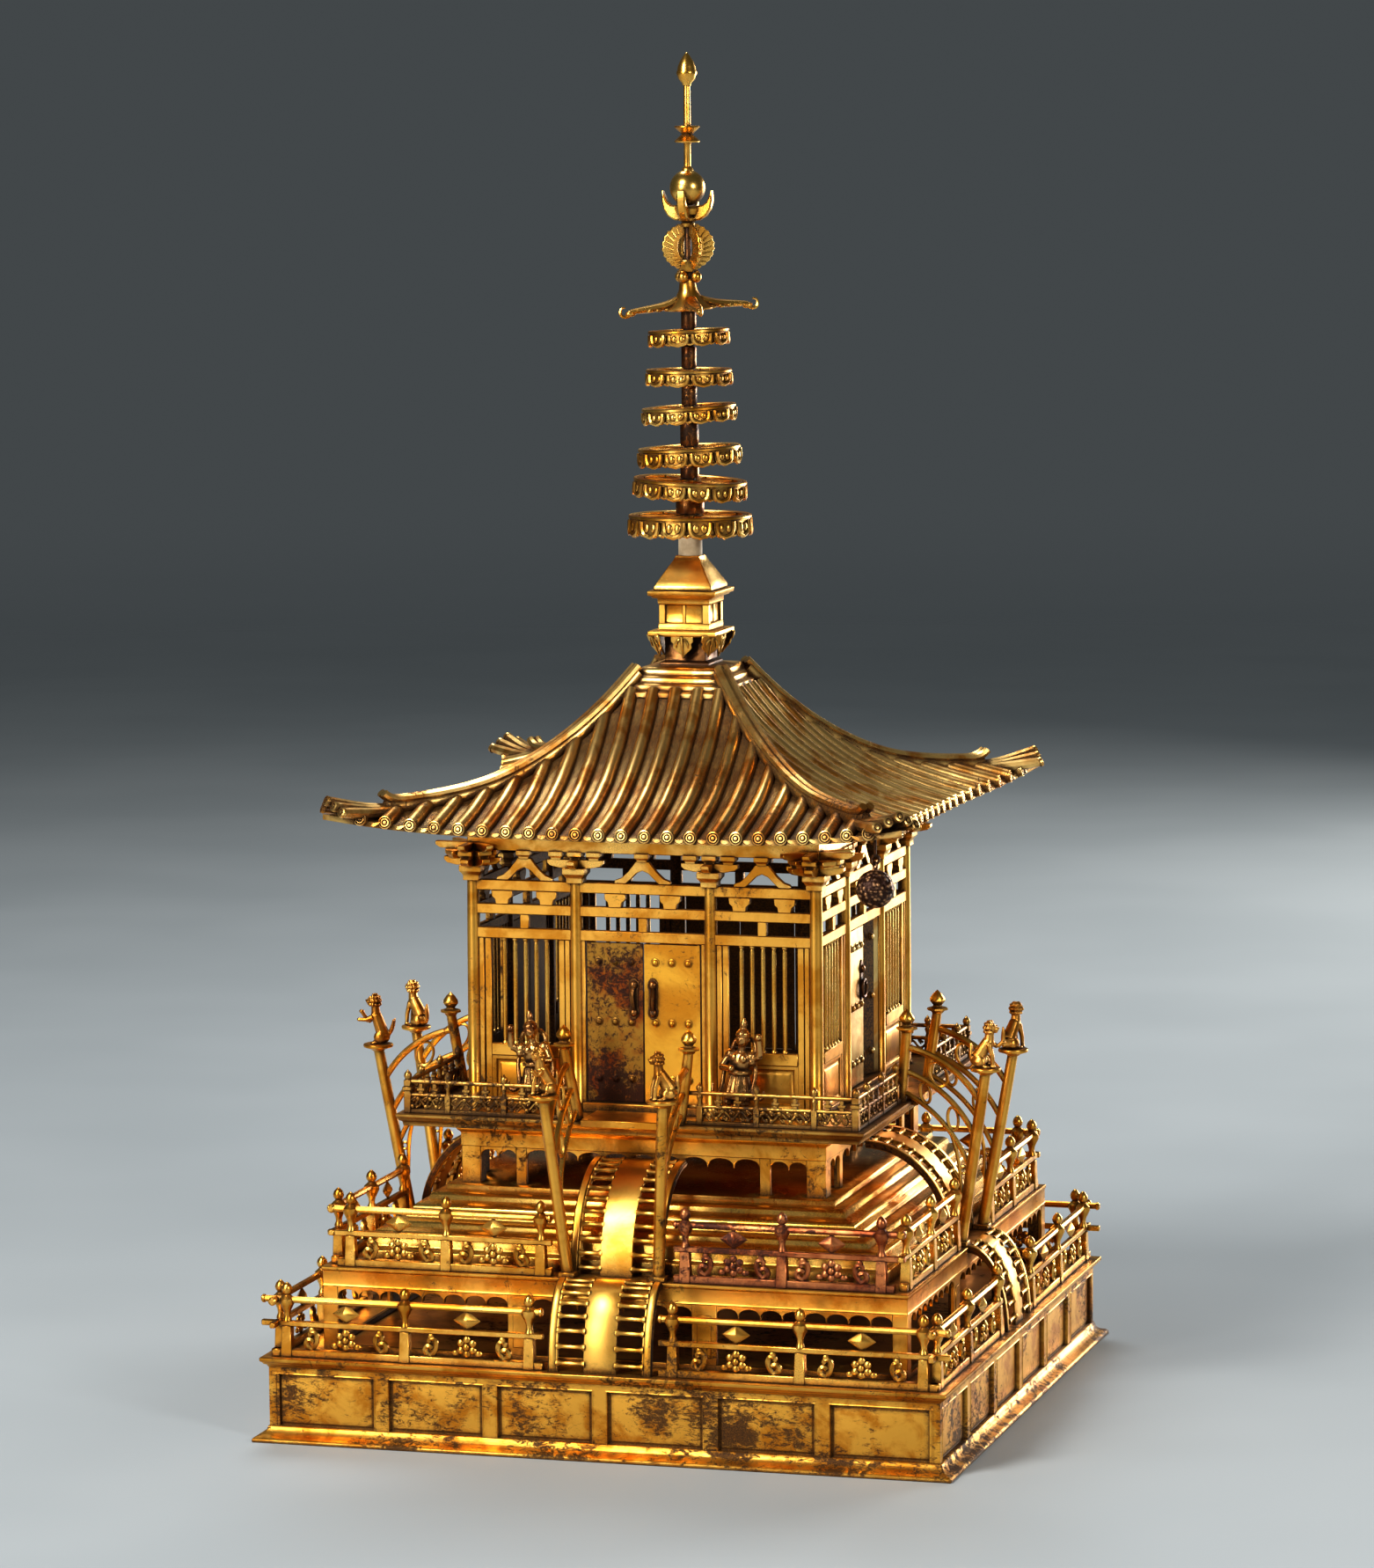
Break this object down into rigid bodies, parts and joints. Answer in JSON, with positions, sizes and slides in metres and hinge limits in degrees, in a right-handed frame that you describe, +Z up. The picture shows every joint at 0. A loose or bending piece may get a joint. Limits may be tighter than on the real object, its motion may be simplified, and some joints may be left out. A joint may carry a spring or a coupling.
{
  "type": "hall-shaped reliquary shrine",
  "caption": "Gilt bronze hall-shaped reliquary with tiled roof and ringed finial on a railed, stepped podium with bridges, stairs and opening doors.",
  "frame": {"origin": "middle of the underside of the foot rim", "axes": "+Z up along the mast, -Y towards the front door, +X to the right seen from the front"},
  "size_m": [0.4, 0.4, 0.7656],
  "materials": {
    "gilt": "worn mercury gilding with dark tarnish in the recesses",
    "aged_gilt": "browned gilding with wear on the raised parts",
    "dark_bronze": "dark red-brown patina with traces of gilding",
    "copper": "reddish bare copper alloy",
    "pale_sleeve": "pale matt buff sleeve"
  },
  "bodies": {
    "shrine": {"foot_rim": "gilt", "plinth_walls": "gilt", "plinth_deck": "gilt", "lower_railing_posts": "gilt", "lower_railing_rails": "gilt", "upper_railing_posts": "gilt", "upper_railing_rails": "gilt", "railing_ornaments": "gilt", "lower_bridges": "gilt", "upper_bridges": "gilt", "terrace_walls": "gilt", "terrace_top": "gilt", "stepped_podium": "gilt", "arcade_walls": "gilt", "balcony_floor": "gilt", "balcony_posts": "gilt", "balcony_rails": "gilt", "balcony_panels": "gilt", "landings": "gilt", "outer_stair_posts": "gilt", "inner_stair_posts": "gilt", "stair_handrails": "gilt", "hall_columns": "gilt", "hall_beams": "gilt", "bay_frames": "gilt", "window_bars": "gilt", "bracket_sets": "gilt", "finial_pedestal": "gilt", "lotus_leaves": "gilt", "finial_dome": "gilt", "canopy": "gilt", "flame": "gilt", "claw_cup": "gilt", "finial_ball": "gilt", "spire_rod": "gilt", "jewel": "gilt", "roof_shell": "aged_gilt", "roof_tiles": "aged_gilt", "hip_ridges": "aged_gilt", "post_beasts": "aged_gilt", "guardians": "aged_gilt", "mast": "aged_gilt", "bell_hook": "dark_bronze", "pale_sleeve": "pale_sleeve"},
    "front_door_left_leaf": {"front_door_left_leaf": "dark_bronze"},
    "front_door_right_leaf": {"front_door_right_leaf": "gilt"},
    "right_door_left_leaf": {"right_door_left_leaf": "gilt"},
    "right_door_right_leaf": {"right_door_right_leaf": "gilt"},
    "back_door_left_leaf": {"back_door_left_leaf": "gilt"},
    "back_door_right_leaf": {"back_door_right_leaf": "gilt"},
    "left_door_left_leaf": {"left_door_left_leaf": "gilt"},
    "left_door_right_leaf": {"left_door_right_leaf": "gilt"},
    "wheel_1": {"wheel_1": "gilt"},
    "wheel_2": {"wheel_2": "gilt"},
    "wheel_3": {"wheel_3": "gilt"},
    "wheel_4": {"wheel_4": "gilt"},
    "wheel_5": {"wheel_5": "gilt"},
    "wheel_6": {"wheel_6": "gilt"},
    "door_ring": {"door_ring": "dark_bronze"},
    "corner_bell": {"corner_bell": "dark_bronze"}
  },
  "joints": [
    {"name": "front_left_leaf_swing", "type": "hinge", "parent": "shrine", "child": "front_door_left_leaf", "pos_m": [-0.032, -0.0995, 0.18], "axis": [0, 0, 1], "range_deg": [0, 95]},
    {"name": "front_right_leaf_swing", "type": "hinge", "parent": "shrine", "child": "front_door_right_leaf", "pos_m": [0.032, -0.0995, 0.18], "axis": [0, 0, -1], "range_deg": [0, 95]},
    {"name": "right_left_leaf_swing", "type": "hinge", "parent": "shrine", "child": "right_door_left_leaf", "pos_m": [0.0995, -0.032, 0.18], "axis": [0, 0, 1], "range_deg": [0, 95]},
    {"name": "right_right_leaf_swing", "type": "hinge", "parent": "shrine", "child": "right_door_right_leaf", "pos_m": [0.0995, 0.032, 0.18], "axis": [0, 0, -1], "range_deg": [-22, 73]},
    {"name": "back_left_leaf_swing", "type": "hinge", "parent": "shrine", "child": "back_door_left_leaf", "pos_m": [0.032, 0.0995, 0.18], "axis": [0, 0, 1], "range_deg": [0, 95]},
    {"name": "back_right_leaf_swing", "type": "hinge", "parent": "shrine", "child": "back_door_right_leaf", "pos_m": [-0.032, 0.0995, 0.18], "axis": [0, 0, -1], "range_deg": [0, 95]},
    {"name": "left_left_leaf_swing", "type": "hinge", "parent": "shrine", "child": "left_door_left_leaf", "pos_m": [-0.0995, 0.032, 0.18], "axis": [0, 0, 1], "range_deg": [0, 95]},
    {"name": "left_right_leaf_swing", "type": "hinge", "parent": "shrine", "child": "left_door_right_leaf", "pos_m": [-0.0995, -0.032, 0.18], "axis": [0, 0, -1], "range_deg": [0, 95]},
    {"name": "wheel_1_spin", "type": "hinge", "parent": "shrine", "child": "wheel_1", "pos_m": [0, 0, 0.49855], "axis": [0, 0, 1], "continuous": true},
    {"name": "wheel_2_spin", "type": "hinge", "parent": "shrine", "child": "wheel_2", "pos_m": [0, 0, 0.5193], "axis": [0, 0, 1], "continuous": true},
    {"name": "wheel_3_spin", "type": "hinge", "parent": "shrine", "child": "wheel_3", "pos_m": [0, 0, 0.5378], "axis": [0, 0, 1], "continuous": true},
    {"name": "wheel_4_spin", "type": "hinge", "parent": "shrine", "child": "wheel_4", "pos_m": [0, 0, 0.56155], "axis": [0, 0, 1], "continuous": true},
    {"name": "wheel_5_spin", "type": "hinge", "parent": "shrine", "child": "wheel_5", "pos_m": [0, 0, 0.58245], "axis": [0, 0, 1], "continuous": true},
    {"name": "wheel_6_spin", "type": "hinge", "parent": "shrine", "child": "wheel_6", "pos_m": [0, 0, 0.60485], "axis": [0, 0, 1], "continuous": true},
    {"name": "door_ring_swing", "type": "hinge", "parent": "right_door_left_leaf", "child": "door_ring", "pos_m": [0.1025, -0.0055, 0.24185], "axis": [0, -1, 0], "range_deg": [0, 80]},
    {"name": "corner_bell_swing", "type": "hinge", "parent": "shrine", "child": "corner_bell", "pos_m": [0.145, -0.145, 0.3268], "axis": [0.7071, 0.7071, 0], "range_deg": [-25, 25]}
  ]
}
